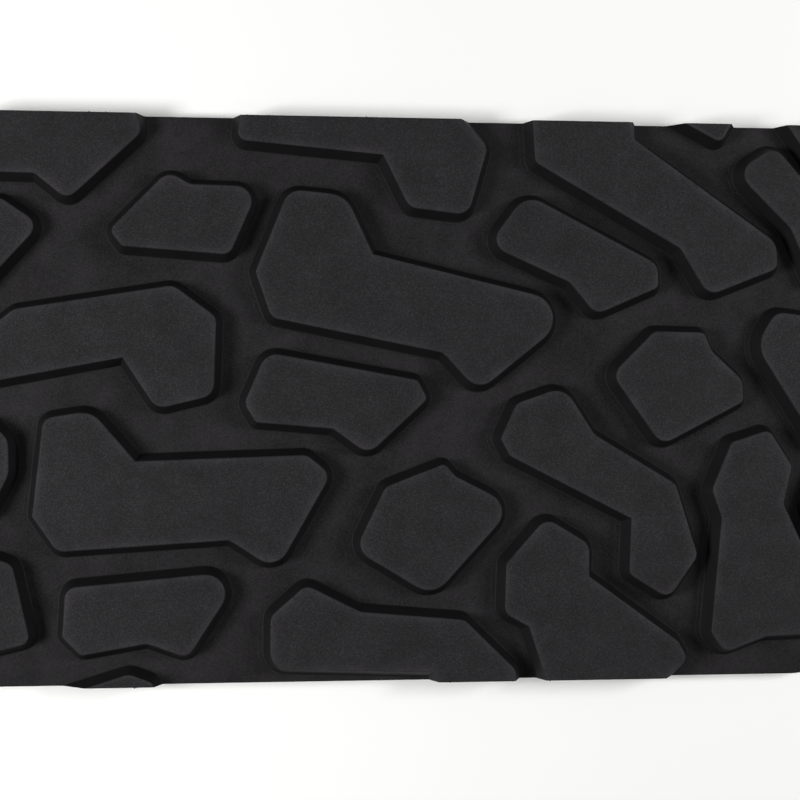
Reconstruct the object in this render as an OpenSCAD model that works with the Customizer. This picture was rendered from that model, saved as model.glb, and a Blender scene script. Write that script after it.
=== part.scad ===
// Snowboard stomp pad: a stick-on foam traction mat.
// Separate foam lugs stand on a foam base, over a double-coated tape with a two-part peel-off liner.
// Origin: middle of the underside. +X along the pad, +Y across it, +Z up. Millimetres.

/* [Pad] */
// Length of the pad along X
pad_length = 160; // [120:1:200]
// Width of the pad along Y
pad_width = 99; // [76:1:125]
// Radius of the pad's four corners, seen from above
pad_corner_r = 8; // [3:0.5:9]
// Thickness of the foam base under the lugs
base_t = 2.5; // [1:0.1:6]

/* [Lugs] */
// Height of the lugs above the base
lug_height = 3.5; // [1:0.1:6]
// How far a lug's wall leans out between its top edge and its foot
lug_draft = 1.2; // [0.3:0.05:1.2]
// Height of the upright land at a lug's foot
lug_foot = 0.2; // [0.1:0.05:0.5]

/* [Tape and liner] */
// Thickness of each of the two adhesive coats
adhesive_t = 0.1; // [0.05:0.01:0.3]
// Thickness of the film between the adhesive coats
carrier_t = 0.05; // [0.02:0.01:0.2]
// Thickness of the peel-off paper liner
liner_t = 0.15; // [0.08:0.01:0.4]
// Width of the slit that parts the liner's two halves
slit_gap = 0.2; // [0.1:0.05:1]
// How far the slit waves to each side
slit_wave = 6; // [0:0.5:15]
// Length of one wave of the slit
slit_pitch = 66; // [30:1:120]

/* [Hidden] */
// Size that the lug outlines are laid out for; they stretch with the pad.
pattern_length = 160;
pattern_width = 99;
// Turn taken by one facet of a rounded lug corner, in degrees
arc_step = 18;
// Points along the wavy slit
slit_points = 24;
// How far a cutting shape runs past what it cuts
overrun = 5;
$fn = 96;

// Heights of the layers, from the underside up
board_adhesive_z = liner_t;
carrier_z = board_adhesive_z + adhesive_t;
foam_adhesive_z = carrier_z + carrier_t;
base_z = foam_adhesive_z + adhesive_t;
lug_z = base_z + base_t;

// Top-face outlines of the lugs, anticlockwise, as [x, y, corner radius] at each corner.
// Inner corners are sharp, with radius 0, so that the drafted walls meet in a clean crease.
// Lugs that reach past the pad's edge are cut off flush with it.
LUGS = [
    // first row, along the far edge
    ["hook_lug_1", [
        [-86, 39.2, 1], [-63, 38.9, 0], [-57.4, 34.4, 2],
        [-44.7, 46.3, 2], [-47.3, 54, 2], [-86, 54, 2]]],
    ["short_lug_1", [
        [-28.4, 45.2, 1.5], [-2.9, 43, 0], [1.7, 33.8, 2.5],
        [12.1, 32.6, 2.5], [15.6, 44.7, 2.2], [6.5, 54, 2], [-27.2, 54, 2]]],
    ["hook_lug_2", [
        [24.1, 42.1, 1.5], [50.4, 27.1, 0], [55.5, 18.7, 2.5],
        [68.2, 23.7, 1.5], [68, 28.3, 3.5], [42, 46.4, 0], [41.2, 54, 1.5], [23.4, 54, 1.5]]],
    ["edge_lug_1", [
        [42.7, 54, 1], [57.8, 46.1, 1.3], [62.4, 54, 1]]],
    ["edge_lug_2", [
        [66.8, 54, 1], [76, 41.2, 1.5], [86, 44, 1], [86, 54, 1]]],

    // second row
    ["edge_lug_3", [
        [-86, 21, 1], [-74, 16.8, 2], [-62, 30.1, 2.2], [-68.6, 34.5, 2.5], [-86, 34.7, 1]]],
    ["short_lug_2", [
        [-50.3, 29.3, 1.5], [-48.1, 26.5, 0.8], [-29.7, 25.2, 1.8],
        [-24.5, 37.1, 2.7], [-36.5, 37.3, 0], [-40.3, 39.5, 2.5]]],
    ["hook_lug_3", [
        [-25.2, 22.3, 1.5], [-22.4, 14.3, 2], [7.7, 8.3, 0], [13.9, 1.5, 3.2],
        [32.6, 16.6, 4.4], [-4.7, 25.5, 0], [-9.5, 35.8, 4.5], [-19.4, 36.7, 3]]],
    ["short_lug_3", [
        [15.7, 27.4, 2.7], [30.3, 20.9, 0], [35, 15.2, 2.2],
        [46.3, 20.1, 1.2], [46.2, 24.2, 2.5], [22.4, 36.5, 3.8]]],
    ["hook_lug_4", [
        [60.5, 41, 2.7], [70.7, 30.9, 0], [75.4, 20.4, 2], [86, 23, 1], [86, 25, 1],
        [67.8, 45.6, 2.3]]],

    // third row
    ["hook_lug_5", [
        [-72.2, 2.7, 2.5], [-48, 7.3, 0], [-42.2, -1.6, 2.5], [-32.4, 0.8, 2.5],
        [-32, 14.4, 2], [-39.4, 19.8, 2.5], [-66.4, 15.5, 2], [-74.2, 9.2, 2.5]]],
    ["short_lug_4", [
        [-27.1, -0.6, 2], [-25.1, -3.9, 1], [-11.7, -5, 0], [-5.5, -9.5, 2.6],
        [4.9, 0.2, 1.2], [3.1, 3.5, 1], [-23.3, 8.3, 3]]],
    ["block_lug_1", [
        [37.9, 4.6, 2.5], [46.9, -8, 2.5], [61.9, -0.2, 1.2], [61.7, 3.6, 2.5],
        [56.2, 8.6, 0], [54.6, 12.1, 1], [45.6, 12.3, 2]]],
    ["edge_lug_4", [
        [64.2, 9.9, 5], [76.4, -9.2, 2], [86, -5.2, 1], [86, 13.5, 1], [67.9, 15.9, 2.5]]],

    // fourth row
    ["edge_lug_5", [
        [-86, -17, 1], [-71.2, -21, 2], [-67.2, -12.8, 4], [-67.3, -6.8, 3],
        [-70.5, -3.6, 2], [-86, -3.9, 1]]],
    ["hook_lug_6", [
        [-63.2, -20, 0.6], [-59, -26.1, 2.2], [-29.7, -24.3, 0], [-21.5, -29.6, 3.3],
        [-12.1, -13, 2.2], [-16.3, -9.6, 2], [-45.8, -10.6, 0], [-53.3, -1.9, 4],
        [-61.4, -3.2, 2]]],
    ["block_lug_2", [
        [-7.8, -26.2, 3], [5.9, -34.5, 4], [20.3, -18.7, 3.5], [9.8, -13.4, 0],
        [7.9, -11.2, 1], [-2.5, -15.2, 2]]],
    ["hook_lug_7", [
        [17.9, -6.8, 1], [19.6, -9.9, 1], [41.4, -21, 0], [41, -30.9, 1.5],
        [48.1, -35.3, 2], [53.4, -27.8, 2], [49.4, -14.9, 2], [34.7, -6.1, 0],
        [29.2, 2.4, 3.5], [20.7, -0.6, 2]]],
    ["hook_lug_8", [
        [56.1, -15.9, 2], [57.9, -21, 0], [55.9, -41.5, 2], [58.4, -45, 2], [66, -42.2, 0],
        [86, -41.6, 1], [86, -34.5, 1], [74.6, -30.2, 0], [69.2, -18.6, 0],
        [70.8, -11.8, 1.5], [66.6, -5.3, 1.5], [59.7, -7.5, 1]]],
    ["edge_lug_6", [
        [74, -19.3, 2], [76.2, -26, 2], [86, -27.2, 1], [86, -11.2, 1], [76.6, -12.8, 2]]],

    // fifth row
    ["edge_lug_7", [
        [-86, -47, 1], [-63.5, -41.6, 1.5], [-66.6, -28.1, 2], [-70.4, -26.9, 2],
        [-86, -28.5, 1]]],
    ["short_lug_5", [
        [-57.6, -32.3, 2], [-58.1, -40.7, 1], [-54.9, -43.9, 1.2], [-43.8, -42, 0],
        [-36.8, -44.5, 2], [-27.1, -29.6, 3.4]]],
    ["hook_lug_9", [
        [-22.5, -37.6, 2], [-22.6, -46.7, 3], [5.9, -47.7, 0], [9.5, -54, 1],
        [20.3, -54, 1], [20.6, -47.6, 2], [11.4, -38.6, 2], [-6.9, -37, 0],
        [-16.4, -32.2, 2]]],
    ["hook_lug_10", [
        [18.9, -28.8, 1], [18.6, -37.6, 2], [22.9, -39.9, 0], [27.5, -54, 1], [42.4, -54, 1],
        [51.6, -46.1, 1.5], [49.8, -42.9, 1.5], [33.7, -31.2, 0], [33.7, -25.5, 2.5],
        [26, -20.8, 2.4]]],

    // cut off by the near edge
    ["edge_lug_8", [
        [-69, -54, 1], [-40.2, -54, 1], [-43, -48.7, 1.2], [-46.8, -47.2, 2.5]]]
];

// ---- geometry of a rounded corner ----

function unit(v) = v / norm(v);
function flat(corner) = [corner[0], corner[1]];
function turned(v, angle) =
    [v[0] * cos(angle) - v[1] * sin(angle), v[0] * sin(angle) + v[1] * cos(angle)];

// Points round one corner: an arc of radius r that touches both sides, or the bare corner.
function corner_arc(before, here, after, r) =
    r == 0 ? [here] :
    let (
        way_in = unit(here - before),
        way_out = unit(after - here),
        turn = acos(way_in * way_out),
        start = here - way_in * r * tan(turn / 2),
        spoke = turned(way_in, -90) * r,
        steps = ceil(turn / arc_step)
    )
    [for (i = [0:steps]) start - spoke + turned(spoke, turn * i / steps)];

// A whole outline with each of its corners rounded.
function rounded(corners) =
    let (count = len(corners))
    [for (i = [0:count - 1])
        each corner_arc(
            flat(corners[(i + count - 1) % count]), flat(corners[i]),
            flat(corners[(i + 1) % count]), corners[i][2])];

// A lug outline moved to suit the pad's own length and width.
function placed(corners) =
    [for (c = corners) [c[0] * pad_length / pattern_length, c[1] * pad_width / pattern_width, c[2]]];

// Whether a lug's foot stays inside the pad's straight sides
function clear_of_edge(corners) =
    max([for (c = corners) abs(c[0])]) + lug_draft < pad_length / 2
    && max([for (c = corners) abs(c[1])]) + lug_draft < pad_width / 2;

// An outline with every side moved outwards by the same reach.
function grown(outline, reach) =
    let (count = len(outline))
    [for (i = [0:count - 1])
        let (
            way_in = unit(outline[i] - outline[(i + count - 1) % count]),
            way_out = unit(outline[(i + 1) % count] - outline[i]),
            outwards = [way_in[1] + way_out[1], -way_in[0] - way_out[0]]
        )
        outline[i] + outwards * 2 * reach / (outwards * outwards)];

function raised(outline, z) = [for (p = outline) [p[0], p[1], z]];

// ---- filling an outline with triangles ----

// More than 0 where the path a, b, c turns left
function leftness(a, b, c) = (b[0] - a[0]) * (c[1] - b[1]) - (b[1] - a[1]) * (c[0] - b[0]);

function within(p, a, b, c) =
    leftness(a, b, p) >= 0 && leftness(b, c, p) >= 0 && leftness(c, a, p) >= 0;

// Whether three neighbouring points of a loop make a triangle that no other point is in
function is_ear(points, loop, before, here, after) =
    leftness(points[before], points[here], points[after]) > 0
    && len([
        for (other = loop)
            if (other != before && other != here && other != after
                && within(points[other], points[before], points[here], points[after]))
                other]) == 0;

// The first place in a loop, from place i on, that can be cut off as a triangle
function first_ear(points, loop, i = 0) =
    let (count = len(loop))
    is_ear(points, loop, loop[(i + count - 1) % count], loop[i], loop[(i + 1) % count])
        ? i : first_ear(points, loop, i + 1);

// Triangles that fill a loop of point numbers, cut off one at a time
function filled(points, loop) =
    len(loop) == 3 ? [loop] :
    let (
        count = len(loop),
        ear = first_ear(points, loop),
        triangle = [loop[(ear + count - 1) % count], loop[ear], loop[(ear + 1) % count]],
        rest = [for (i = [0:count - 1]) if (i != ear) loop[i]]
    )
    concat([triangle], filled(points, rest));

// ---- shared shapes ----

module pad_outline() {
    square([pad_length - 2 * pad_corner_r, pad_width], center = true);
    square([pad_length, pad_width - 2 * pad_corner_r], center = true);
    for (x = [-1, 1], y = [-1, 1])
        translate([x * (pad_length / 2 - pad_corner_r), y * (pad_width / 2 - pad_corner_r)])
            circle(r = pad_corner_r);
}

module pad_layer(z, thickness) {
    translate([0, 0, z])
        linear_extrude(thickness)
            pad_outline();
}

// ---- sub-parts ----

// A lug before it is cut: an upright land at the foot, then drafted walls up to the top
module whole_lug(corners) {
    top = rounded(corners);
    foot = grown(top, lug_draft);
    count = len(top);
    loop = [for (i = [0:count - 1]) i];
    levels = concat(
        raised(foot, lug_z), raised(foot, lug_z + lug_foot), raised(top, lug_z + lug_height));
    underside = filled(foot, loop);
    upside = [for (t = filled(top, loop)) [for (k = [2, 1, 0]) t[k] + 2 * count]];
    sides = [
        for (low = [0, count], i = loop)
            let (j = (i + 1) % count)
            [low + i, low + count + i, low + count + j, low + j]];
    polyhedron(points = levels, faces = concat(underside, upside, sides));
}

// One lug, cut flush where it runs past the pad's edge
module lug(corners) {
    color("#2b292a")
        if (clear_of_edge(placed(corners)))
            whole_lug(placed(corners));
        else
            intersection() {
                whole_lug(placed(corners));
                pad_layer(lug_z - overrun, lug_height + 2 * overrun);
            }
}

module base_mat() {
    color("#232223") pad_layer(base_z, base_t);
}

module foam_side_adhesive() {
    color("#d8d4c4") pad_layer(foam_adhesive_z, adhesive_t);
}

module tape_carrier() {
    color("#f0f0ee") pad_layer(carrier_z, carrier_t);
}

module board_side_adhesive() {
    color("#d8d4c4") pad_layer(board_adhesive_z, adhesive_t);
}

// The slit's middle line, as x for a given y
function slit_x(y) = slit_wave * sin(360 * y / slit_pitch);

// The area on one side of the slit: side is -1 for the left half and 1 for the right.
module beside_slit(side) {
    reach = pad_width / 2 + overrun;
    far_x = side * (pad_length / 2 + overrun);
    edge = [for (i = [0:slit_points])
        let (y = -reach + 2 * reach * i / slit_points)
        [slit_x(y) + side * slit_gap / 2, y]];
    polygon(concat(edge, [[far_x, reach], [far_x, -reach]]));
}

module release_liner(side) {
    color("#e8dcb4")
        linear_extrude(liner_t)
            intersection() {
                pad_outline();
                beside_slit(side);
            }
}

base_mat();
foam_side_adhesive();
tape_carrier();
board_side_adhesive();
release_liner(-1);  // release_liner_left
release_liner(1);  // release_liner_right
for (entry = LUGS)
    lug(entry[1]);
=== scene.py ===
"""Snowboard stomp pad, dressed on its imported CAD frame.

A black foam tread of separate lugs stands on a foam base, over a double-coated tape with a liner in
two halves. Sizes whose names end in _mm are millimetres; every mesh is in metres.
"""
import logging
import math
from dataclasses import dataclass
from enum import Enum

import bmesh
import bpy
from mathutils import Matrix, Vector


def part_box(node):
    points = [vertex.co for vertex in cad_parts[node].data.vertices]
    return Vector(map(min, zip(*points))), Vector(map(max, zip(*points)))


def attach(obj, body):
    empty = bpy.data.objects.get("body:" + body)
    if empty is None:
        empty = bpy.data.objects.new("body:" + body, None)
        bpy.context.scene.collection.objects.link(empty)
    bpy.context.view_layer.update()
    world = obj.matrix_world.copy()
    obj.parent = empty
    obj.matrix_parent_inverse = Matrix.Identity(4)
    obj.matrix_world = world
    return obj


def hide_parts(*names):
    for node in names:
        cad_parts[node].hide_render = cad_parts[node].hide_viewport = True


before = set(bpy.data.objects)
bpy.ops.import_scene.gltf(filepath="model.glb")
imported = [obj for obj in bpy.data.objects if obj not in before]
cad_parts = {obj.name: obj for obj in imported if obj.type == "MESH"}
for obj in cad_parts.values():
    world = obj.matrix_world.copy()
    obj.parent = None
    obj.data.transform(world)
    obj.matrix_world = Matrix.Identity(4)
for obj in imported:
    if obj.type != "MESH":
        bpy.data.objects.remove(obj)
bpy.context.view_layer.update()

MM = 0.001
PAD_BODY = "pad"
# The most that softening takes off a corner, and the turn below which a corner counts as straight
MOST_CUT = 0.36 * MM
STRAIGHT_DEG = 0.5
# Points closer together than this are one point.
WELD = 0.002 * MM
LOG = logging.getLogger("stomp_pad")


def srgb(hex_code: str) -> tuple[float, float, float, float]:
    """Turn an sRGB hex colour into Blender's linear one.

    Args:
        hex_code: six hex digits, with or without a leading hash.

    Returns:
        Red, green, blue and alpha, each from 0 to 1.
    """
    digits = hex_code.lstrip("#")
    shares = [int(digits[i:i + 2], 16) / 255 for i in (0, 2, 4)]
    linear = [s / 12.92 if s <= 0.04045 else ((s + 0.055) / 1.055) ** 2.4 for s in shares]
    return (linear[0], linear[1], linear[2], 1.0)


def add_node(
    tree: bpy.types.NodeTree, kind: str, links: dict | None = None, **settings: object
) -> bpy.types.Node:
    """Add one node with its settings, values and links.

    Args:
        tree: the node tree to add to.
        kind: the node's type name.
        links: input name or number to a value, or to the socket that feeds it.
        settings: the node's own properties.

    Returns:
        The new node.
    """
    node = tree.nodes.new(kind)
    for name, value in settings.items():
        setattr(node, name, value)
    for key, source in (links or {}).items():
        if isinstance(source, bpy.types.NodeSocket):
            tree.links.new(source, node.inputs[key])
        else:
            node.inputs[key].default_value = source
    return node


def per_mm(size_mm: float) -> float:
    """Give the texture scale, in features a metre, for a feature of that many millimetres."""
    return 1.0 / (size_mm * MM)


# ---- finishes ----


@dataclass(frozen=True)
class Finish:
    """A surface finish that can make its own material."""

    name: str

    def paint(self, tree: bpy.types.NodeTree) -> bpy.types.NodeSocket:
        """Fill the tree and give the socket of its shader."""
        raise NotImplementedError

    def material(self) -> bpy.types.Material:
        """Make the finish's material.

        Returns:
            A new material with this finish's nodes.
        """
        material = bpy.data.materials.new(self.name)
        material.use_nodes = True
        tree = material.node_tree
        tree.nodes.clear()
        add_node(tree, "ShaderNodeOutputMaterial", {"Surface": self.paint(tree)})
        return material


@dataclass(frozen=True)
class MouldedEva(Finish):
    """Black cross-linked EVA foam, hot-pressed in a grained mould.

    To the eye: a dull near-black skin with a fine light grain on the lugs' tops, a paler rim
    that is a painted highlight, and smoother drafted walls without grain, coloured darker as
    painted shade. The painted shade eases off over the small fillet at the foot, which is a
    little paler than the wall, like the groove floor beside it.
    """

    name: str = "EVA foam, hot-pressed in a grained mould"
    top_hex: str = "1c1b1c"
    # Painted shade: the drafted walls are coloured darker than the tops.
    wall_shade_hex: str = "161516"
    foot_hex: str = "1a191a"
    speck_hex: str = "302e31"
    # Painted highlight: the rounded rim is coloured paler where it catches the light.
    rim_highlight_hex: str = "302e31"
    # The skin's grain is about 0.15 mm across; it is drawn at 0.24 mm so that it shows.
    grain_mm: float = 0.24
    mottle_mm: float = 5.0
    roughness: float = 0.62
    bump_mm: float = 0.05

    def paint(self, tree: bpy.types.NodeTree) -> bpy.types.NodeSocket:
        """Mix the wall with its painted shade, skin, specks and the rim's painted highlight, and
        raise the grain.

        Args:
            tree: the material's empty node tree.

        Returns:
            The shader's output socket.
        """
        place = add_node(tree, "ShaderNodeTexCoord").outputs["Object"]
        grained = add_node(tree, "ShaderNodeAttribute", attribute_name="grain").outputs["Fac"]
        rim_highlight_mask = add_node(tree, "ShaderNodeAttribute", attribute_name="rim_highlight").outputs["Fac"]
        footing = add_node(tree, "ShaderNodeAttribute", attribute_name="foot").outputs["Fac"]
        grain = add_node(tree, "ShaderNodeTexNoise", {
            "Vector": place, "Scale": per_mm(self.grain_mm), "Detail": 3.0, "Roughness": 0.65})
        mottle = add_node(tree, "ShaderNodeTexNoise", {
            "Vector": place, "Scale": per_mm(self.mottle_mm), "Detail": 4.0, "Roughness": 0.5})
        specks = add_node(tree, "ShaderNodeMapRange", {
            "Value": grain.outputs["Fac"], "From Min": 0.46, "From Max": 0.74})
        speckled = add_node(tree, "ShaderNodeMix", {
            0: specks.outputs["Result"], 6: srgb(self.top_hex), 7: srgb(self.speck_hex)},
            data_type="RGBA")
        # Painted highlight: the rim and the edge of the crown are mixed towards a paler colour,
        # patchy with the mottle.
        rim_highlight_share = add_node(tree, "ShaderNodeMath", {
            0: rim_highlight_mask, 1: mottle.outputs["Fac"]}, operation="MULTIPLY")
        rim_highlighted = add_node(tree, "ShaderNodeMix", {
            0: rim_highlight_share.outputs[0], 6: speckled.outputs[2], 7: srgb(self.rim_highlight_hex)},
            data_type="RGBA")
        # Painted shade on the walls, easing off over the foot fillet towards a paler colour.
        wall = add_node(tree, "ShaderNodeMix", {
            0: footing, 6: srgb(self.wall_shade_hex), 7: srgb(self.foot_hex)}, data_type="RGBA")
        skin = add_node(tree, "ShaderNodeMix", {
            0: grained, 6: wall.outputs[2], 7: rim_highlighted.outputs[2]}, data_type="RGBA")
        tone = add_node(tree, "ShaderNodeMapRange", {
            "Value": mottle.outputs["Fac"], "From Min": 0.3, "From Max": 0.7,
            "To Min": 0.86, "To Max": 1.12})
        toned = add_node(tree, "ShaderNodeMix", {
            0: 1.0, 6: skin.outputs[2], 7: tone.outputs["Result"]},
            data_type="RGBA", blend_type="MULTIPLY")
        relief = add_node(tree, "ShaderNodeMath", {
            0: grain.outputs["Fac"], 1: grained}, operation="MULTIPLY")
        bump = add_node(tree, "ShaderNodeBump", {
            "Height": relief.outputs[0], "Strength": 0.6, "Distance": self.bump_mm * MM})
        shader = add_node(tree, "ShaderNodeBsdfPrincipled", {
            "Base Color": toned.outputs[2], "Roughness": self.roughness, "IOR": 1.48,
            "Specular IOR Level": 0.12, "Normal": bump.outputs["Normal"]})
        return shader.outputs["BSDF"]


@dataclass(frozen=True)
class SkivedEva(Finish):
    """Black EVA foam, split to thickness and die-cut.

    To the eye: smoother and a little darker than the lugs, with soft cloudy patches and a fine
    fuzz on the groove floor, a painted highlight along its fine raised lines, and painted shade in
    the open mouths of cut foam cells on the trimmed edge.
    """

    name: str = "EVA foam, split and die-cut"
    floor_hex: str = "100f10"
    cloud_hex: str = "282628"
    # Painted shade: the open cell mouths are coloured darker than the floor.
    cell_shade_hex: str = "0c0b0c"
    # Painted highlight: the fine raised lines are coloured paler than the floor.
    bead_highlight_hex: str = "302e32"
    # Cut cells are about 0.1 mm across; they are drawn at 0.25 mm so that they show.
    cell_mm: float = 0.25
    cloud_mm: float = 7.0
    fuzz_mm: float = 0.25
    roughness: float = 0.7

    def paint(self, tree: bpy.types.NodeTree) -> bpy.types.NodeSocket:
        """Cloud the floor, put painted shade in the open cells where the attribute says cut, and a
        painted highlight on the raised lines.

        Args:
            tree: the material's empty node tree.

        Returns:
            The shader's output socket.
        """
        place = add_node(tree, "ShaderNodeTexCoord").outputs["Object"]
        cut = add_node(tree, "ShaderNodeAttribute", attribute_name="cut").outputs["Fac"]
        bead_highlight = add_node(tree, "ShaderNodeAttribute", attribute_name="bead_highlight").outputs["Fac"]
        cloud = add_node(tree, "ShaderNodeTexNoise", {
            "Vector": place, "Scale": per_mm(self.cloud_mm), "Detail": 5.0, "Roughness": 0.55})
        fuzz = add_node(tree, "ShaderNodeTexNoise", {
            "Vector": place, "Scale": per_mm(self.fuzz_mm), "Detail": 2.0, "Roughness": 0.6})
        cells = add_node(tree, "ShaderNodeTexVoronoi", {
            "Vector": place, "Scale": per_mm(self.cell_mm)}, feature="F1")
        tone = add_node(tree, "ShaderNodeMix", {
            0: 0.6, 2: cloud.outputs["Fac"], 3: fuzz.outputs["Fac"]}, data_type="FLOAT")
        spread = add_node(tree, "ShaderNodeMapRange", {
            "Value": tone.outputs[0], "From Min": 0.34, "From Max": 0.68})
        floor = add_node(tree, "ShaderNodeMix", {
            0: spread.outputs["Result"], 6: srgb(self.floor_hex), 7: srgb(self.cloud_hex)},
            data_type="RGBA")
        # Painted shade in the open cell mouths on the cut edge.
        mouths = add_node(tree, "ShaderNodeMapRange", {
            "Value": cells.outputs["Distance"], "From Min": 0.25, "From Max": 0.5,
            "To Min": 1.0, "To Max": 0.0})
        mouth_shade_share = add_node(tree, "ShaderNodeMath", {
            0: mouths.outputs["Result"], 1: cut}, operation="MULTIPLY")
        cell_shaded = add_node(tree, "ShaderNodeMix", {
            0: mouth_shade_share.outputs[0], 6: floor.outputs[2], 7: srgb(self.cell_shade_hex)},
            data_type="RGBA")
        # Painted highlight on the raised crease lines, patchy with the clouds.
        bead_highlight_share = add_node(tree, "ShaderNodeMath", {
            0: bead_highlight, 1: cloud.outputs["Fac"]}, operation="MULTIPLY")
        colour = add_node(tree, "ShaderNodeMix", {
            0: bead_highlight_share.outputs[0], 6: cell_shaded.outputs[2], 7: srgb(self.bead_highlight_hex)},
            data_type="RGBA")
        height = add_node(tree, "ShaderNodeMix", {
            0: cut, 2: fuzz.outputs["Fac"], 3: cells.outputs["Distance"]}, data_type="FLOAT")
        bump = add_node(tree, "ShaderNodeBump", {
            "Height": height.outputs[0], "Strength": 0.35, "Distance": 0.04 * MM})
        shader = add_node(tree, "ShaderNodeBsdfPrincipled", {
            "Base Color": colour.outputs[2], "Roughness": self.roughness, "IOR": 1.48,
            "Specular IOR Level": 0.12, "Normal": bump.outputs["Normal"]})
        return shader.outputs["BSDF"]


@dataclass(frozen=True)
class AcrylicAdhesive(Finish):
    """Acrylic transfer adhesive, knife-coated on film.

    To the eye: milky and wet-looking, with faint coating streaks along the roll and tiny air bells.
    """

    name: str = "Acrylic adhesive, knife-coated"
    base_hex: str = "d6d1c0"
    bell_hex: str = "eeebe0"
    bell_mm: float = 0.8
    streak_mm: float = 1.5
    roughness: float = 0.18

    def paint(self, tree: bpy.types.NodeTree) -> bpy.types.NodeSocket:
        """Streak the coat along the roll and scatter air bells.

        Args:
            tree: the material's empty node tree.

        Returns:
            The shader's output socket.
        """
        place = add_node(tree, "ShaderNodeTexCoord").outputs["Object"]
        drawn = add_node(tree, "ShaderNodeMapping", {"Vector": place, "Scale": (0.03, 1.0, 1.0)})
        streaks = add_node(tree, "ShaderNodeTexNoise", {
            "Vector": drawn.outputs["Vector"], "Scale": per_mm(self.streak_mm), "Detail": 3.0})
        bells = add_node(tree, "ShaderNodeTexVoronoi", {
            "Vector": place, "Scale": per_mm(self.bell_mm)})
        spots = add_node(tree, "ShaderNodeMapRange", {
            "Value": bells.outputs["Distance"], "From Min": 0.08, "From Max": 0.2,
            "To Min": 0.8, "To Max": 0.0})
        colour = add_node(tree, "ShaderNodeMix", {
            0: spots.outputs["Result"], 6: srgb(self.base_hex), 7: srgb(self.bell_hex)},
            data_type="RGBA")
        bump = add_node(tree, "ShaderNodeBump", {
            "Height": streaks.outputs["Fac"], "Strength": 0.4, "Distance": 0.02 * MM})
        shader = add_node(tree, "ShaderNodeBsdfPrincipled", {
            "Base Color": colour.outputs[2], "Roughness": self.roughness, "IOR": 1.47,
            "Normal": bump.outputs["Normal"]})
        return shader.outputs["BSDF"]


@dataclass(frozen=True)
class PolyesterFilm(Finish):
    """Polyester film, stretched and clear, seen milky between two coats.

    To the eye: a thin bright line between the adhesive coats on the cut edge.
    """

    name: str = "Polyester film, stretched"
    film_hex: str = "e8e9e6"
    haze_hex: str = "d3d6d4"
    haze_mm: float = 3.0
    roughness: float = 0.12

    def paint(self, tree: bpy.types.NodeTree) -> bpy.types.NodeSocket:
        """Haze the film softly.

        Args:
            tree: the material's empty node tree.

        Returns:
            The shader's output socket.
        """
        place = add_node(tree, "ShaderNodeTexCoord").outputs["Object"]
        haze = add_node(tree, "ShaderNodeTexNoise", {
            "Vector": place, "Scale": per_mm(self.haze_mm), "Detail": 2.0})
        colour = add_node(tree, "ShaderNodeMix", {
            0: haze.outputs["Fac"], 6: srgb(self.film_hex), 7: srgb(self.haze_hex)},
            data_type="RGBA")
        shader = add_node(tree, "ShaderNodeBsdfPrincipled", {
            "Base Color": colour.outputs[2], "Roughness": self.roughness, "IOR": 1.6})
        return shader.outputs["BSDF"]


@dataclass(frozen=True)
class KraftLiner(Finish):
    """Kraft paper, siliconised on the side that faces the adhesive.

    To the eye: honey-coloured paper with long darker fibres, dull outside and slick inside.
    """

    name: str = "Kraft paper, siliconised"
    paper_hex: str = "c9b485"
    fibre_hex: str = "b7a070"
    # Fibres are about 0.03 mm thick; they are drawn at 0.2 mm so that they show.
    fibre_mm: float = 0.2
    cloud_mm: float = 6.0
    paper_roughness: float = 0.62
    silicone_roughness: float = 0.22

    def paint(self, tree: bpy.types.NodeTree) -> bpy.types.NodeSocket:
        """Lay fibres along the sheet and make the siliconised side slick.

        Args:
            tree: the material's empty node tree.

        Returns:
            The shader's output socket.
        """
        place = add_node(tree, "ShaderNodeTexCoord").outputs["Object"]
        slick = add_node(tree, "ShaderNodeAttribute", attribute_name="slick").outputs["Fac"]
        drawn = add_node(tree, "ShaderNodeMapping", {"Vector": place, "Scale": (0.12, 1.0, 1.0)})
        fibres = add_node(tree, "ShaderNodeTexNoise", {
            "Vector": drawn.outputs["Vector"], "Scale": per_mm(self.fibre_mm), "Detail": 4.0,
            "Distortion": 0.4})
        clouds = add_node(tree, "ShaderNodeTexNoise", {
            "Vector": place, "Scale": per_mm(self.cloud_mm), "Detail": 3.0})
        share = add_node(tree, "ShaderNodeMath", {
            0: fibres.outputs["Fac"], 1: clouds.outputs["Fac"]}, operation="MULTIPLY")
        spread = add_node(tree, "ShaderNodeMapRange", {
            "Value": share.outputs[0], "From Min": 0.1, "From Max": 0.45})
        colour = add_node(tree, "ShaderNodeMix", {
            0: spread.outputs["Result"], 6: srgb(self.paper_hex), 7: srgb(self.fibre_hex)},
            data_type="RGBA")
        gloss = add_node(tree, "ShaderNodeMapRange", {
            "Value": slick, "To Min": self.paper_roughness, "To Max": self.silicone_roughness})
        bump = add_node(tree, "ShaderNodeBump", {
            "Height": fibres.outputs["Fac"], "Strength": 0.25, "Distance": 0.03 * MM})
        shader = add_node(tree, "ShaderNodeBsdfPrincipled", {
            "Base Color": colour.outputs[2], "Roughness": gloss.outputs["Result"],
            "Normal": bump.outputs["Normal"]})
        return shader.outputs["BSDF"]


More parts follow.
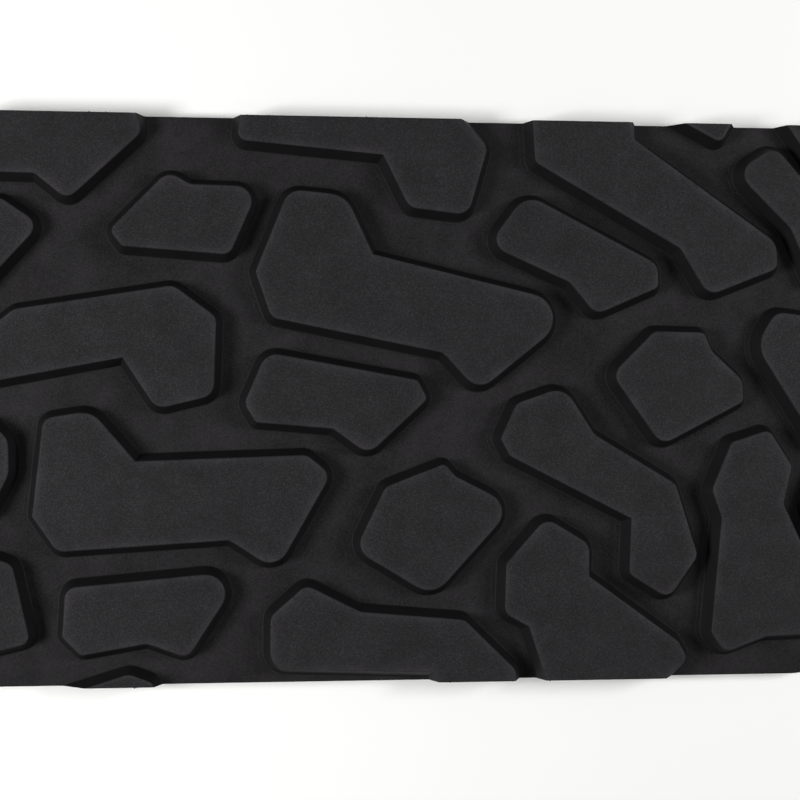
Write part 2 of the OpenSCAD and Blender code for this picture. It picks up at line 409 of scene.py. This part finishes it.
@dataclass(frozen=True)
class StudioPaper(Finish):
    """Seamless background paper: a plain pale matt floor."""

    name: str = "Background paper, plain"
    paper_hex: str = "ececea"
    tooth_mm: float = 1.2

    def paint(self, tree: bpy.types.NodeTree) -> bpy.types.NodeSocket:
        """Give the paper its faint tooth.

        Args:
            tree: the material's empty node tree.

        Returns:
            The shader's output socket.
        """
        place = add_node(tree, "ShaderNodeTexCoord").outputs["Object"]
        tooth = add_node(tree, "ShaderNodeTexNoise", {
            "Vector": place, "Scale": per_mm(self.tooth_mm), "Detail": 3.0})
        bump = add_node(tree, "ShaderNodeBump", {
            "Height": tooth.outputs["Fac"], "Strength": 0.1, "Distance": 0.05 * MM})
        shader = add_node(tree, "ShaderNodeBsdfPrincipled", {
            "Base Color": srgb(self.paper_hex), "Roughness": 0.9, "Specular IOR Level": 0.1,
            "Normal": bump.outputs["Normal"]})
        return shader.outputs["BSDF"]


# ---- outlines ----


@dataclass(frozen=True)
class PadPlan:
    """The pad seen from above: a rectangle with round corners, in metres."""

    half_length: float
    half_width: float
    corner: float = 8.0 * MM
    edge_slack: float = 0.08 * MM

    def outside_by(self, point: Vector) -> float:
        """Give how far a point lies outside the pad's edge.

        Args:
            point: a place seen from above.

        Returns:
            Metres outside the edge; less than zero is inside.
        """
        across = abs(point.x) - (self.half_length - self.corner)
        along = abs(point.y) - (self.half_width - self.corner)
        reach = math.hypot(max(across, 0.0), max(along, 0.0))
        return reach + min(max(across, along), 0.0) - self.corner

    def on_edge(self, point: Vector) -> bool:
        """Say whether a point lies on the pad's cut edge."""
        return abs(self.outside_by(point)) < self.edge_slack

    def held(self, point: Vector) -> Vector:
        """Pull a point that is outside the pad back to its edge.

        Args:
            point: a place seen from above.

        Returns:
            The same place, or the nearest one on the pad's edge.
        """
        if self.outside_by(point) <= 0:
            return point
        inner = Vector((
            max(-self.half_length + self.corner, min(self.half_length - self.corner, point.x)),
            max(-self.half_width + self.corner, min(self.half_width - self.corner, point.y))))
        return inner + (point - inner).normalized() * self.corner


@dataclass
class Outline:
    """A closed anticlockwise outline seen from above, in metres.

    trimmed says, for the edge that starts at each point, whether it lies on the pad's cut edge.
    """

    points: list[Vector]
    trimmed: list[bool]

    def softened(self, rounds: int = 2, sharp_deg: float = 40.0) -> "Outline":
        """Cut the small corners of stepped arcs so that they read as round.

        Args:
            rounds: how many times every corner is cut.
            sharp_deg: corners that turn by more than this stay.

        Returns:
            A new outline.
        """
        outline = self
        for _ in range(rounds):
            outline = outline._cut_once(sharp_deg)
        return outline

    def _cut_once(self, sharp_deg: float) -> "Outline":
        """Cut each soft corner once, at a quarter of its shorter side and no more than MOST_CUT.

        Args:
            sharp_deg: corners that turn by more than this stay.

        Returns:
            A new outline.
        """
        points: list[Vector] = []
        trimmed: list[bool] = []
        for i, here in enumerate(self.points):
            back = here - self.points[i - 1]
            ahead = self.points[(i + 1) % len(self.points)] - here
            turn = abs(math.degrees(back.angle_signed(ahead)))
            if self.trimmed[i - 1] == self.trimmed[i] and STRAIGHT_DEG < turn < sharp_deg:
                cut = min(0.25 * min(back.length, ahead.length), MOST_CUT)
                points += [here - back.normalized() * cut, here + ahead.normalized() * cut]
                trimmed += [self.trimmed[i], self.trimmed[i]]
            else:
                points.append(here)
                trimmed.append(self.trimmed[i])
        return Outline(points, trimmed)

    def grown(self, distance: float) -> list[Vector]:
        """Move every edge outwards by a distance, but leave trimmed edges where they are.

        Edges that would turn inside out close up to one corner, so no ring crosses itself.

        Args:
            distance: metres outwards; less than zero shrinks the outline.

        Returns:
            One place for each of the outline's points.
        """
        count = len(self.points)
        ways = [(self.points[(i + 1) % count] - self.points[i]).normalized() for i in range(count)]
        shifts = [0.0 if cut else distance for cut in self.trimmed]
        live = list(range(count))
        corners: dict[int, Vector] = {}
        while len(live) > 3:
            corners = {
                edge: self._meeting(live[k - 1], edge, ways, shifts) for k, edge in enumerate(live)}
            runs = [
                (corners[live[(k + 1) % len(live)]] - corners[edge]).dot(ways[edge])
                for k, edge in enumerate(live)]
            kept = [edge for edge, run in zip(live, runs) if run >= -1e-9]
            if len(kept) == len(live):
                break
            live = kept
        alive = set(live)
        places: list[Vector] = [Vector((0.0, 0.0))] * count
        current = corners[live[0]]
        for i in range(count - 1, -1, -1):
            if i in alive:
                current = corners[i]
            places[i] = current
        return places

    def _meeting(
        self, before: int, after: int, ways: list[Vector], shifts: list[float]
    ) -> Vector:
        """Give the place where two moved edges cross.

        Args:
            before: number of the edge that comes in.
            after: number of the edge that goes out.
            ways: unit direction of each edge.
            shifts: how far each edge moves outwards.

        Returns:
            The corner between the two moved edges.
        """
        a = self.points[before] + Vector((ways[before].y, -ways[before].x)) * shifts[before]
        b = self.points[after] + Vector((ways[after].y, -ways[after].x)) * shifts[after]
        crossing = ways[before].cross(ways[after])
        if abs(crossing) < 1e-4:
            return b
        return a + ways[before] * ((b - a).cross(ways[after]) / crossing)


def top_outline(node: str, plan: PadPlan) -> Outline:
    """Read the outline of a CAD node's flat top.

    Args:
        node: name of the CAD node.
        plan: the pad's plan, which marks the trimmed edges.

    Returns:
        The outline, anticlockwise.
    """
    shape = bmesh.new()
    shape.from_mesh(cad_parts[node].data)
    bmesh.ops.remove_doubles(shape, verts=shape.verts, dist=WELD)
    shape.normal_update()
    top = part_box(node)[1][2]
    caps = {f for f in shape.faces if f.normal.z > 0.99 and abs(f.verts[0].co.z - top) < 1e-6}
    follows: dict[int, bmesh.types.BMVert] = {}
    starts: dict[int, bmesh.types.BMVert] = {}
    for face in caps:
        for loop in face.loops:
            if not any(other in caps and other is not face for other in loop.edge.link_faces):
                starts[loop.vert.index] = loop.vert
                follows[loop.vert.index] = loop.link_loop_next.vert
    first = min(starts)
    walk = [first]
    while follows[walk[-1]].index != first:
        walk.append(follows[walk[-1]].index)
    points = [starts[i].co.xy.copy() for i in walk]
    shape.free()
    trimmed = []
    for i, here in enumerate(points):
        ahead = points[(i + 1) % len(points)]
        trimmed.append(all(plan.on_edge(p) for p in (here, ahead, (here + ahead) / 2)))
    return Outline(points, trimmed)


@dataclass(frozen=True)
class Ring:
    """One ring of a stacked shell: where it lies on the section, and its surface marks."""

    out: float
    height: float
    marks: dict[str, float]


def stacked_shell(
    name: str, outline: Outline, rings: list[Ring], plan: PadPlan, sharp_deg: float = 38.0
) -> bpy.types.Object:
    """Make a closed shell from rings round an outline, top first.

    Args:
        name: the new object's name.
        outline: the outline that the rings grow from or shrink to.
        rings: the rings, from the middle of the top to the underside.
        plan: the pad's plan, which nothing may cross.
        sharp_deg: edges that turn by more than this stay crisp.

    Returns:
        The new object, at the origin.
    """
    shape = bmesh.new()
    layers = {mark: shape.verts.layers.float.new(mark) for mark in rings[0].marks}
    loops: list[list[bmesh.types.BMVert]] = []
    for ring in rings:
        loop = []
        for place in outline.grown(ring.out):
            held = plan.held(place)
            vert = shape.verts.new((held.x, held.y, ring.height))
            for mark, layer in layers.items():
                vert[layer] = ring.marks[mark]
            loop.append(vert)
        loops.append(loop)
    count = len(outline.points)
    for upper, lower in zip(loops, loops[1:]):
        for i in range(count):
            j = (i + 1) % count
            shape.faces.new((upper[i], lower[i], lower[j], upper[j]))
    shape.faces.new(loops[0])
    shape.faces.new(list(reversed(loops[-1])))
    bmesh.ops.remove_doubles(shape, verts=shape.verts, dist=2 * WELD)
    bmesh.ops.dissolve_degenerate(shape, edges=shape.edges, dist=WELD)
    bmesh.ops.triangulate(shape, faces=[f for f in shape.faces if len(f.verts) > 4])
    shape.normal_update()
    for face in shape.faces:
        face.smooth = True
    for edge in shape.edges:
        edge.smooth = edge.calc_face_angle(math.pi) < math.radians(sharp_deg)
    mesh = bpy.data.meshes.new(name)
    shape.to_mesh(mesh)
    shape.free()
    piece = bpy.data.objects.new(name, mesh)
    bpy.context.scene.collection.objects.link(piece)
    return piece


def settle(
    piece: bpy.types.Object, material: bpy.types.Material, body: str,
    node: str | None = None,
) -> None:
    """Dress a finished piece and tie it to the frame.

    Args:
        piece: the finished object.
        material: its material.
        body: the CAD body it rides on.
        node: the CAD node it stands for, if any.
    """
    piece.data.materials.clear()
    piece.data.materials.append(material)
    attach(piece, body)
    if node is not None:
        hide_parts(node)
    LOG.info("%s: %d faces on %s", piece.name, len(piece.data.polygons), body)


# ---- the tread ----


@dataclass(frozen=True)
class LugSection:
    """Section of a lug's side, in millimetres."""

    draft_mm: float = 1.2
    rim_radius_mm: float = 0.34
    foot_radius_mm: float = 0.25
    crown_mm: float = 0.05
    crown_reach_mm: float = 1.9
    # The crown reaches in no further than this share of the lug's smaller width.
    most_reach: float = 0.3
    crown_steps: tuple[float, ...] = (1.0, 0.55, 0.25)
    sink_mm: float = 0.04
    arc_steps: int = 6

    def rings(self, floor: float, top: float, smaller_side: float) -> list[Ring]:
        """Give the rings from the crown, over the rim and down the wall, to the groove floor.

        Args:
            floor: height of the groove floor, in metres.
            top: height of the lug's top, in metres.
            smaller_side: the lug's smaller width, in metres, which limits its crown.

        Returns:
            The rings, top first.
        """
        height = (top - floor) / MM
        slope = math.atan2(height, self.draft_mm)
        half_turn = math.tan(slope / 2)
        reach = min(self.crown_reach_mm, self.most_reach * smaller_side / MM)
        rim_start = -self.rim_radius_mm * half_turn
        steps: list[tuple[float, float, dict[str, float]]] = []
        # This mark places the rim's painted highlight: it fades in across the crown and is full
        # over the rim.
        for share in self.crown_steps:
            inset = rim_start + (-reach - rim_start) * share
            steps.append((
                inset, height - self.crown_mm * (1 - share) ** 2,
                {"grain": 1.0, "rim_highlight": (1 - share) ** 2, "foot": 0.0}))
        rim_z = height - self.crown_mm - self.rim_radius_mm
        for k in range(self.arc_steps + 1):
            angle = math.pi / 2 - slope * k / self.arc_steps
            steps.append((
                rim_start + self.rim_radius_mm * math.cos(angle),
                rim_z + self.rim_radius_mm * math.sin(angle),
                {"grain": 1.0 - (k / self.arc_steps) ** 2, "rim_highlight": 1.0, "foot": 0.0}))
        # The foot mark eases the walls' painted shade off over the foot fillet.
        foot_x = self.draft_mm + self.foot_radius_mm * half_turn
        for k in range(self.arc_steps + 1):
            angle = 1.5 * math.pi - slope * (1 - k / self.arc_steps)
            steps.append((
                foot_x + self.foot_radius_mm * math.cos(angle),
                self.foot_radius_mm * (1 + math.sin(angle)),
                {"grain": 0.0, "rim_highlight": 0.0, "foot": k / self.arc_steps}))
        steps.append((
            foot_x + self.sink_mm, -self.sink_mm, {"grain": 0.0, "rim_highlight": 0.0, "foot": 1.0}))
        return [Ring(out * MM, floor + up * MM, marks) for out, up, marks in steps]


@dataclass
class TreadLugs:
    """The moulded lugs, each a crowned shell with a rounded rim, drafted wall and foot fillet."""

    plan: PadPlan
    section: LugSection
    floor: float
    names: list[str]

    def build(self, material: bpy.types.Material) -> list[bpy.types.Object]:
        """Make every lug on its CAD node's outline.

        Args:
            material: the lugs' foam.

        Returns:
            The lugs' objects.
        """
        return [self._lug(name, material) for name in self.names]

    def _lug(self, name: str, material: bpy.types.Material) -> bpy.types.Object:
        """Make one lug and tie it to the pad.

        Args:
            name: the lug's CAD node.
            material: the lug's foam.

        Returns:
            The lug's object.
        """
        outline = top_outline(name, self.plan).softened()
        xs = [p.x for p in outline.points]
        ys = [p.y for p in outline.points]
        smaller = min(max(xs) - min(xs), max(ys) - min(ys))
        rings = self.section.rings(self.floor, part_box(name)[1][2], smaller)
        lug = stacked_shell(f"{name}_foam", outline, rings, self.plan)
        settle(lug, material, PAD_BODY, name)
        return lug


@dataclass
class BaseMat:
    """The foam ply under the lugs, with a lightly eased die-cut edge."""

    plan: PadPlan
    ease_mm: float = 0.08
    inset_mm: float = 3.0

    def build(self, material: bpy.types.Material) -> bpy.types.Object:
        """Make the base on its CAD node's outline.

        Args:
            material: the base's foam.

        Returns:
            The base's object.
        """
        low, high = (corner[2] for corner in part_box("base_mat"))
        ease = self.ease_mm * MM
        rings = [
            Ring(-self.inset_mm * MM, high, {"cut": 0.0}),
            Ring(-2 * ease, high, {"cut": 0.0}),
            Ring(-ease, high - 0.2 * ease, {"cut": 0.0}),
            Ring(0.0, high - ease, {"cut": 1.0}),
            Ring(0.0, low + ease, {"cut": 1.0}),
            Ring(-ease, low, {"cut": 1.0}),
        ]
        outline = top_outline("base_mat", self.plan)
        outline.trimmed = [False] * len(outline.trimmed)
        base = stacked_shell("base_mat_foam", outline.softened(), rings, self.plan)
        settle(base, material, PAD_BODY, "base_mat")
        return base


# ---- what repeats: grain, creases and torn skin ----


class Scatter(Enum):
    """The shapes that a scatter strews over a surface."""

    NUB = "cone"
    CRUMB = "crumb"


def bake_modifier(
    source: bpy.types.Object, tree: bpy.types.NodeTree, inputs: dict[str, object], name: str
) -> bpy.types.Object:
    """Run a geometry tree on an object and keep only its plain mesh.

    Args:
        source: the object that the tree works on; it is removed.
        tree: the geometry node tree.
        inputs: input name to value.
        name: the new object's name.

    Returns:
        A new object with the finished mesh.
    """
    modifier = source.modifiers.new("build", "NODES")
    modifier.node_group = tree
    for item in tree.interface.items_tree:
        if item.item_type == "SOCKET" and item.in_out == "INPUT" and item.name in inputs:
            modifier[item.identifier] = inputs[item.name]
    graph = bpy.context.evaluated_depsgraph_get()
    mesh = bpy.data.meshes.new_from_object(source.evaluated_get(graph))
    source.modifiers.remove(modifier)
    piece = bpy.data.objects.new(name, mesh)
    mesh.name = name
    bpy.context.scene.collection.objects.link(piece)
    bpy.data.objects.remove(source, do_unlink=True)
    return piece


def loose_mesh(
    name: str, places: list[tuple[float, float, float]], edges: list[tuple[int, int]],
    faces: list[tuple[int, ...]],
) -> bpy.types.Object:
    """Make a helper object from plain lists.

    Args:
        name: the object's name.
        places: its points.
        edges: its edges, as pairs of point numbers.
        faces: its faces, as point numbers.

    Returns:
        The object, linked to the scene.
    """
    mesh = bpy.data.meshes.new(name)
    mesh.from_pydata(places, edges, faces)
    helper = bpy.data.objects.new(name, mesh)
    bpy.context.scene.collection.objects.link(helper)
    return helper


def geometry_tree(name: str, sizes: dict[str, tuple[str, float]]) -> bpy.types.NodeTree:
    """Start a geometry tree with a geometry input, named sizes and one geometry output.

    Args:
        name: the tree's name.
        sizes: input name to its socket type and first value.

    Returns:
        The tree, without any nodes.
    """
    tree = bpy.data.node_groups.new(name, "GeometryNodeTree")
    tree.interface.new_socket("Geometry", in_out="INPUT", socket_type="NodeSocketGeometry")
    for label, (kind, value) in sizes.items():
        tree.interface.new_socket(label, in_out="INPUT", socket_type=kind).default_value = value
    tree.interface.new_socket("Geometry", in_out="OUTPUT", socket_type="NodeSocketGeometry")
    return tree


@dataclass
class CreaseLines:
    """The fine raised line in the floor beside each lug's foot, where the foot faces -X."""

    plan: PadPlan
    floor: float
    names: list[str]
    offset_mm: float = 2.0
    radius_mm: float = 0.06
    # How far the bead's middle lies below the floor, as a share of its radius
    sunk: float = 0.55
    # Only edges whose outward direction has at least this share along -X have the line.
    least_lean: float = 0.75

    def build(self, material: bpy.types.Material) -> bpy.types.Object:
        """Sweep a thin bead along every foot line.

        Args:
            material: the base's foam.

        Returns:
            The beads' object.
        """
        places: list[tuple[float, float, float]] = []
        edges: list[tuple[int, int]] = []
        for name in self.names:
            outline = top_outline(name, self.plan).softened()
            ring = [self.plan.held(p) for p in outline.grown(self.offset_mm * MM)]
            start = len(places)
            level = self.floor - self.sunk * self.radius_mm * MM
            places += [(p.x, p.y, level) for p in ring]
            edges += [
                (start + i, start + (i + 1) % len(ring))
                for i, cut in enumerate(outline.trimmed) if not cut and self.leans(outline, i)]
        helper = loose_mesh("crease_paths", places, edges, [])
        beads = bake_modifier(
            helper, self._tree(material), {"Radius": self.radius_mm * MM}, "crease_lines")
        # The beads are marked for the floor foam's painted highlight, which colours them paler.
        layer = beads.data.attributes.new("bead_highlight", "FLOAT", "POINT")
        layer.data.foreach_set("value", [1.0] * len(beads.data.vertices))
        settle(beads, material, PAD_BODY)
        return beads

    def leans(self, outline: Outline, edge: int) -> bool:
        """Say whether an edge of an outline faces towards -X enough to have the line."""
        way = outline.points[(edge + 1) % len(outline.points)] - outline.points[edge]
        return way.length > 0 and way.y / way.length < -self.least_lean

    def _tree(self, material: bpy.types.Material) -> bpy.types.NodeTree:
        """Build the sweep: merge the path, make it a curve, run a small circle along it.

        Args:
            material: the base's foam.

        Returns:
            A tree with an input for the bead's radius.
        """
        tree = geometry_tree("Crease bead", {"Radius": ("NodeSocketFloat", 0.0001)})
        given = add_node(tree, "NodeGroupInput")
        merged = add_node(tree, "GeometryNodeMergeByDistance", {
            "Geometry": given.outputs["Geometry"], "Distance": 0.02 * MM})
        path = add_node(tree, "GeometryNodeMeshToCurve", {"Mesh": merged.outputs["Geometry"]})
        circle = add_node(tree, "GeometryNodeCurvePrimitiveCircle", {
            "Resolution": 6, "Radius": given.outputs["Radius"]})
        sweep = add_node(tree, "GeometryNodeCurveToMesh", {
            "Curve": path.outputs["Curve"], "Profile Curve": circle.outputs["Curve"],
            "Fill Caps": True})
        smooth = add_node(tree, "GeometryNodeSetShadeSmooth", {"Geometry": sweep.outputs["Mesh"]})
        real = add_node(tree, "GeometryNodeRealizeInstances", {
            "Geometry": smooth.outputs["Geometry"]})
        dressed = add_node(tree, "GeometryNodeSetMaterial", {
            "Geometry": real.outputs["Geometry"], "Material": material})
        add_node(tree, "NodeGroupOutput", {"Geometry": dressed.outputs["Geometry"]})
        return tree


@dataclass
class Strewn:
    """Small foam shapes strewn over a surface by a seeded scatter."""

    shape: Scatter
    per_mm2: float
    radius_mm: float
    height_mm: float
    seed: int

    def tree(self, material: bpy.types.Material) -> bpy.types.NodeTree:
        """Build the scatter.

        Args:
            material: the foam of the strewn shapes.

        Returns:
            A tree with inputs for density, radius and height.
        """
        tree = geometry_tree(f"Strewn {self.shape.value}", {
            "Density": ("NodeSocketFloat", 1.0), "Radius": ("NodeSocketFloat", 0.0001),
            "Height": ("NodeSocketFloat", 0.0001)})
        given = add_node(tree, "NodeGroupInput")
        points = add_node(tree, "GeometryNodeDistributePointsOnFaces", {
            "Mesh": given.outputs["Geometry"], "Density": given.outputs["Density"],
            "Seed": self.seed})
        if self.shape is Scatter.NUB:
            piece = add_node(tree, "GeometryNodeMeshCone", {
                "Vertices": 5, "Side Segments": 1, "Radius Top": 0.0,
                "Radius Bottom": given.outputs["Radius"], "Depth": given.outputs["Height"]})
            mesh = piece.outputs["Mesh"]
        else:
            ball = add_node(tree, "GeometryNodeMeshIcoSphere", {
                "Radius": given.outputs["Radius"], "Subdivisions": 1})
            mesh = ball.outputs["Mesh"]
        spin = add_node(tree, "FunctionNodeRandomValue", {
            0: (0.0, 0.0, 0.0), 1: (0.0, 0.0, math.tau), "Seed": self.seed + 1},
            data_type="FLOAT_VECTOR")
        size = add_node(tree, "FunctionNodeRandomValue", {
            0: (0.6, 0.5, 0.5), 1: (1.5, 1.3, 1.4), "Seed": self.seed + 2},
            data_type="FLOAT_VECTOR")
        strewn = add_node(tree, "GeometryNodeInstanceOnPoints", {
            "Points": points.outputs["Points"], "Instance": mesh,
            "Rotation": spin.outputs[0], "Scale": size.outputs[0]})
        real = add_node(tree, "GeometryNodeRealizeInstances", {
            "Geometry": strewn.outputs["Instances"]})
        dressed = add_node(tree, "GeometryNodeSetMaterial", {
            "Geometry": real.outputs["Geometry"], "Material": material})
        add_node(tree, "NodeGroupOutput", {"Geometry": dressed.outputs["Geometry"]})
        return tree

    def over(
        self, ground: bpy.types.Object, material: bpy.types.Material, name: str
    ) -> bpy.types.Object:
        """Strew the shapes over a helper surface, which is used up.

        Args:
            ground: the helper surface.
            material: the foam of the strewn shapes.
            name: the new piece's name.

        Returns:
            The strewn shapes as one plain mesh.
        """
        sizes = {
            "Density": self.per_mm2 / MM ** 2, "Radius": self.radius_mm * MM,
            "Height": self.height_mm * MM}
        return bake_modifier(ground, self.tree(material), sizes, name)


@dataclass
class TopGrain:
    """The raised grain of the lugs' tops: low nubs left by the mould's etched face."""

    lugs: list[bpy.types.Object]
    nubs: Strewn

    def build(self, material: bpy.types.Material) -> bpy.types.Object:
        """Strew nubs over every lug's flat top.

        Args:
            material: the lugs' foam.

        Returns:
            The nubs' object.
        """
        places: list[tuple[float, float, float]] = []
        faces: list[tuple[int, ...]] = []
        for lug in self.lugs:
            mesh = lug.data
            for polygon in mesh.polygons:
                if polygon.normal.z > 0.95 and polygon.center.z > self.level(lug):
                    start = len(places)
                    places += [tuple(mesh.vertices[v].co) for v in polygon.vertices]
                    faces.append(tuple(range(start, len(places))))
        ground = loose_mesh("lug_tops", places, [], faces)
        grain = self.nubs.over(ground, material, "lug_top_grain")
        layer = grain.data.attributes.new("grain", "FLOAT", "POINT")
        layer.data.foreach_set("value", [1.0] * len(grain.data.vertices))
        settle(grain, material, PAD_BODY)
        return grain

    def level(self, lug: bpy.types.Object) -> float:
        """Give the height above which a face belongs to the lug's top."""
        return max(v.co.z for v in lug.data.vertices) - 0.2 * MM


@dataclass
class TornSkin:
    """A short rough stretch along one lug's foot, where the skin tore as it left the mould."""

    floor: float
    crumbs: Strewn
    start_mm: tuple[float, float] = (49.7, -8.0)
    end_mm: tuple[float, float] = (59.0, -3.1)
    reach_mm: float = 0.6
    climb_mm: float = 1.3
    lean_mm: float = 0.5

    def build(self, material: bpy.types.Material) -> bpy.types.Object:
        """Strew crumbs of skin along the foot: on the lower wall and on the floor beside it.

        Args:
            material: the base's foam.

        Returns:
            The crumbs' object.
        """
        start = Vector(self.start_mm) * MM
        end = Vector(self.end_mm) * MM
        way = (end - start).normalized()
        side = Vector((way.y, -way.x)) * MM
        section = [(-self.lean_mm, self.climb_mm), (0.0, 0.0), (self.reach_mm, 0.0)]
        places = [
            (p.x + side.x * out, p.y + side.y * out, self.floor + up * MM)
            for out, up in section for p in (start, end)]
        ground = loose_mesh("torn_strip", places, [], [(0, 2, 3, 1), (2, 4, 5, 3)])
        torn = self.crumbs.over(ground, material, "torn_skin")
        settle(torn, material, PAD_BODY)
        return torn


# ---- tape and liner ----


class LinerSide(Enum):
    """The liner's two halves, by the CAD node and body that each one is."""

    LEFT = ("release_liner_left", "liner_left")
    RIGHT = ("release_liner_right", "liner_right")


@dataclass
class Liner:
    """One half of the peel-off paper, with lightly crushed die-cut edges."""

    plan: PadPlan
    side: LinerSide
    crush_mm: float = 0.03

    def build(self, material: bpy.types.Material) -> bpy.types.Object:
        """Make the half on its CAD node's outline.

        Args:
            material: the liner's paper.

        Returns:
            The half's object.
        """
        node, body = self.side.value
        low, high = (corner[2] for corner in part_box(node))
        crush = self.crush_mm * MM
        rings = [
            Ring(-2 * crush, high, {"slick": 1.0}),
            Ring(0.0, high - crush, {"slick": 1.0}),
            Ring(0.0, low + crush, {"slick": 0.0}),
            Ring(-2 * crush, low, {"slick": 0.0}),
        ]
        outline = top_outline(node, self.plan)
        outline.trimmed = [False] * len(outline.trimmed)
        half = stacked_shell(f"{node}_paper", outline.softened(), rings, self.plan)
        settle(half, material, body, node)
        return half


@dataclass
class TapeCoats:
    """The thin flat layers between foam and liner, kept as the CAD has them."""

    coats: dict[str, str]

    def dress(self, finishes: dict[str, bpy.types.Material]) -> None:
        """Give each layer its material.

        Args:
            finishes: finish name to material.
        """
        for node, finish in self.coats.items():
            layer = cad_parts[node]
            for slot in layer.material_slots:
                slot.material = finishes[finish]
            if not layer.material_slots:
                layer.data.materials.append(finishes[finish])
            LOG.info("%s: dressed as %s", node, finish)


# ---- studio ----


@dataclass(frozen=True)
class Studio:
    """Camera, lights and floor."""

    camera_mm: tuple[float, float, float] = (-30.0, -2.5, 285.0)
    lens_mm: float = 73.69
    sensor_mm: float = 36.0
    floor_m: float = 3.0
    floor_drop_mm: float = 0.05
    sky_hex: str = "f4f5f6"
    sky_strength: float = 0.16

    def aim(self, place: Vector, target: Vector) -> Matrix:
        """Place something that looks along its own -Z, with its top towards +Y.

        Args:
            place: where it stands.
            target: what it looks at.

        Returns:
            Its world matrix.
        """
        back = (place - target).normalized()
        right = Vector((0.0, 1.0, 0.0)).cross(back).normalized()
        up = back.cross(right)
        turn = Matrix((right, up, back)).transposed().to_4x4()
        return Matrix.Translation(place) @ turn

    def add_camera(self, top: float) -> None:
        """Set the scene's camera over the tread.

        Args:
            top: height of the lugs' tops.
        """
        data = bpy.data.cameras.new("camera")
        data.lens = self.lens_mm
        data.sensor_width = self.sensor_mm
        data.clip_start = 0.01
        camera = bpy.data.objects.new("camera", data)
        target = Vector((0.0, 0.0, top))
        camera.matrix_world = self.aim(target + Vector(self.camera_mm) * MM, target)
        bpy.context.scene.collection.objects.link(camera)
        bpy.context.scene.camera = camera

    def add_light(
        self, name: str, place: tuple[float, float, float], size: float, power: float
    ) -> None:
        """Hang one soft square light that faces the middle of the pad's underside.

        Args:
            name: the light's name.
            place: where it hangs, in metres.
            size: length of its side, in metres.
            power: watts.
        """
        data = bpy.data.lights.new(name, "AREA")
        data.size = size
        data.energy = power
        light = bpy.data.objects.new(name, data)
        light.matrix_world = self.aim(Vector(place), Vector((0.0, 0.0, 0.0)))
        light.visible_camera = False
        bpy.context.scene.collection.objects.link(light)

    def add_floor(self, material: bpy.types.Material) -> None:
        """Lay the pale floor just under the liner.

        Args:
            material: the floor's paper.
        """
        half = self.floor_m / 2
        corners = [(-half, -half), (half, -half), (half, half), (-half, half)]
        floor = loose_mesh(
            "studio_floor", [(x, y, -self.floor_drop_mm * MM) for x, y in corners], [],
            [(0, 1, 2, 3)])
        floor.data.materials.append(material)

    def build(self, top: float, paper: bpy.types.Material) -> None:
        """Set up the whole studio.

        Args:
            top: height of the lugs' tops.
            paper: the floor's material.
        """
        self.add_camera(top)
        self.add_light("left", (-0.345, -0.045, 0.285), size=0.13, power=1.95)
        self.add_light("right", (0.36, 0.06, 0.285), size=0.13, power=1.2)
        self.add_light("overhead", (0.0, 0.0, 1.1), size=1.3, power=2.0)
        world = bpy.data.worlds.new("studio")
        world.use_nodes = True
        sky = world.node_tree.nodes["Background"]
        sky.inputs["Color"].default_value = srgb(self.sky_hex)
        sky.inputs["Strength"].default_value = self.sky_strength
        bpy.context.scene.world = world
        bpy.context.scene.view_settings.view_transform = "Standard"
        self.add_floor(paper)


def main() -> None:
    """Build the studio, then the pad from its tread down to its liner."""
    logging.basicConfig(level=logging.INFO, format="%(message)s")
    low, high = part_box("base_mat")
    plan = PadPlan((high[0] - low[0]) / 2, (high[1] - low[1]) / 2)
    floor = high[2]
    lug_names = sorted(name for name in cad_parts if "lug" in name)

    Studio().build(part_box(lug_names[0])[1][2], StudioPaper().material())

    moulded = MouldedEva().material()
    skived = SkivedEva().material()
    adhesive = AcrylicAdhesive().material()
    film = PolyesterFilm().material()
    paper = KraftLiner().material()

    lugs = TreadLugs(plan, LugSection(), floor, lug_names).build(moulded)
    TopGrain(lugs, Strewn(Scatter.NUB, 2.0, 0.14, 0.05, seed=7)).build(moulded)
    BaseMat(plan).build(skived)
    CreaseLines(plan, floor, lug_names).build(skived)
    TornSkin(floor, Strewn(Scatter.CRUMB, 3.0, 0.14, 0.1, seed=11)).build(skived)
    TapeCoats({
        "foam_side_adhesive": "adhesive", "tape_carrier": "film", "board_side_adhesive": "adhesive",
    }).dress({"adhesive": adhesive, "film": film})
    for side in LinerSide:
        Liner(plan, side).build(paper)


if __name__ == "__main__":
    main()
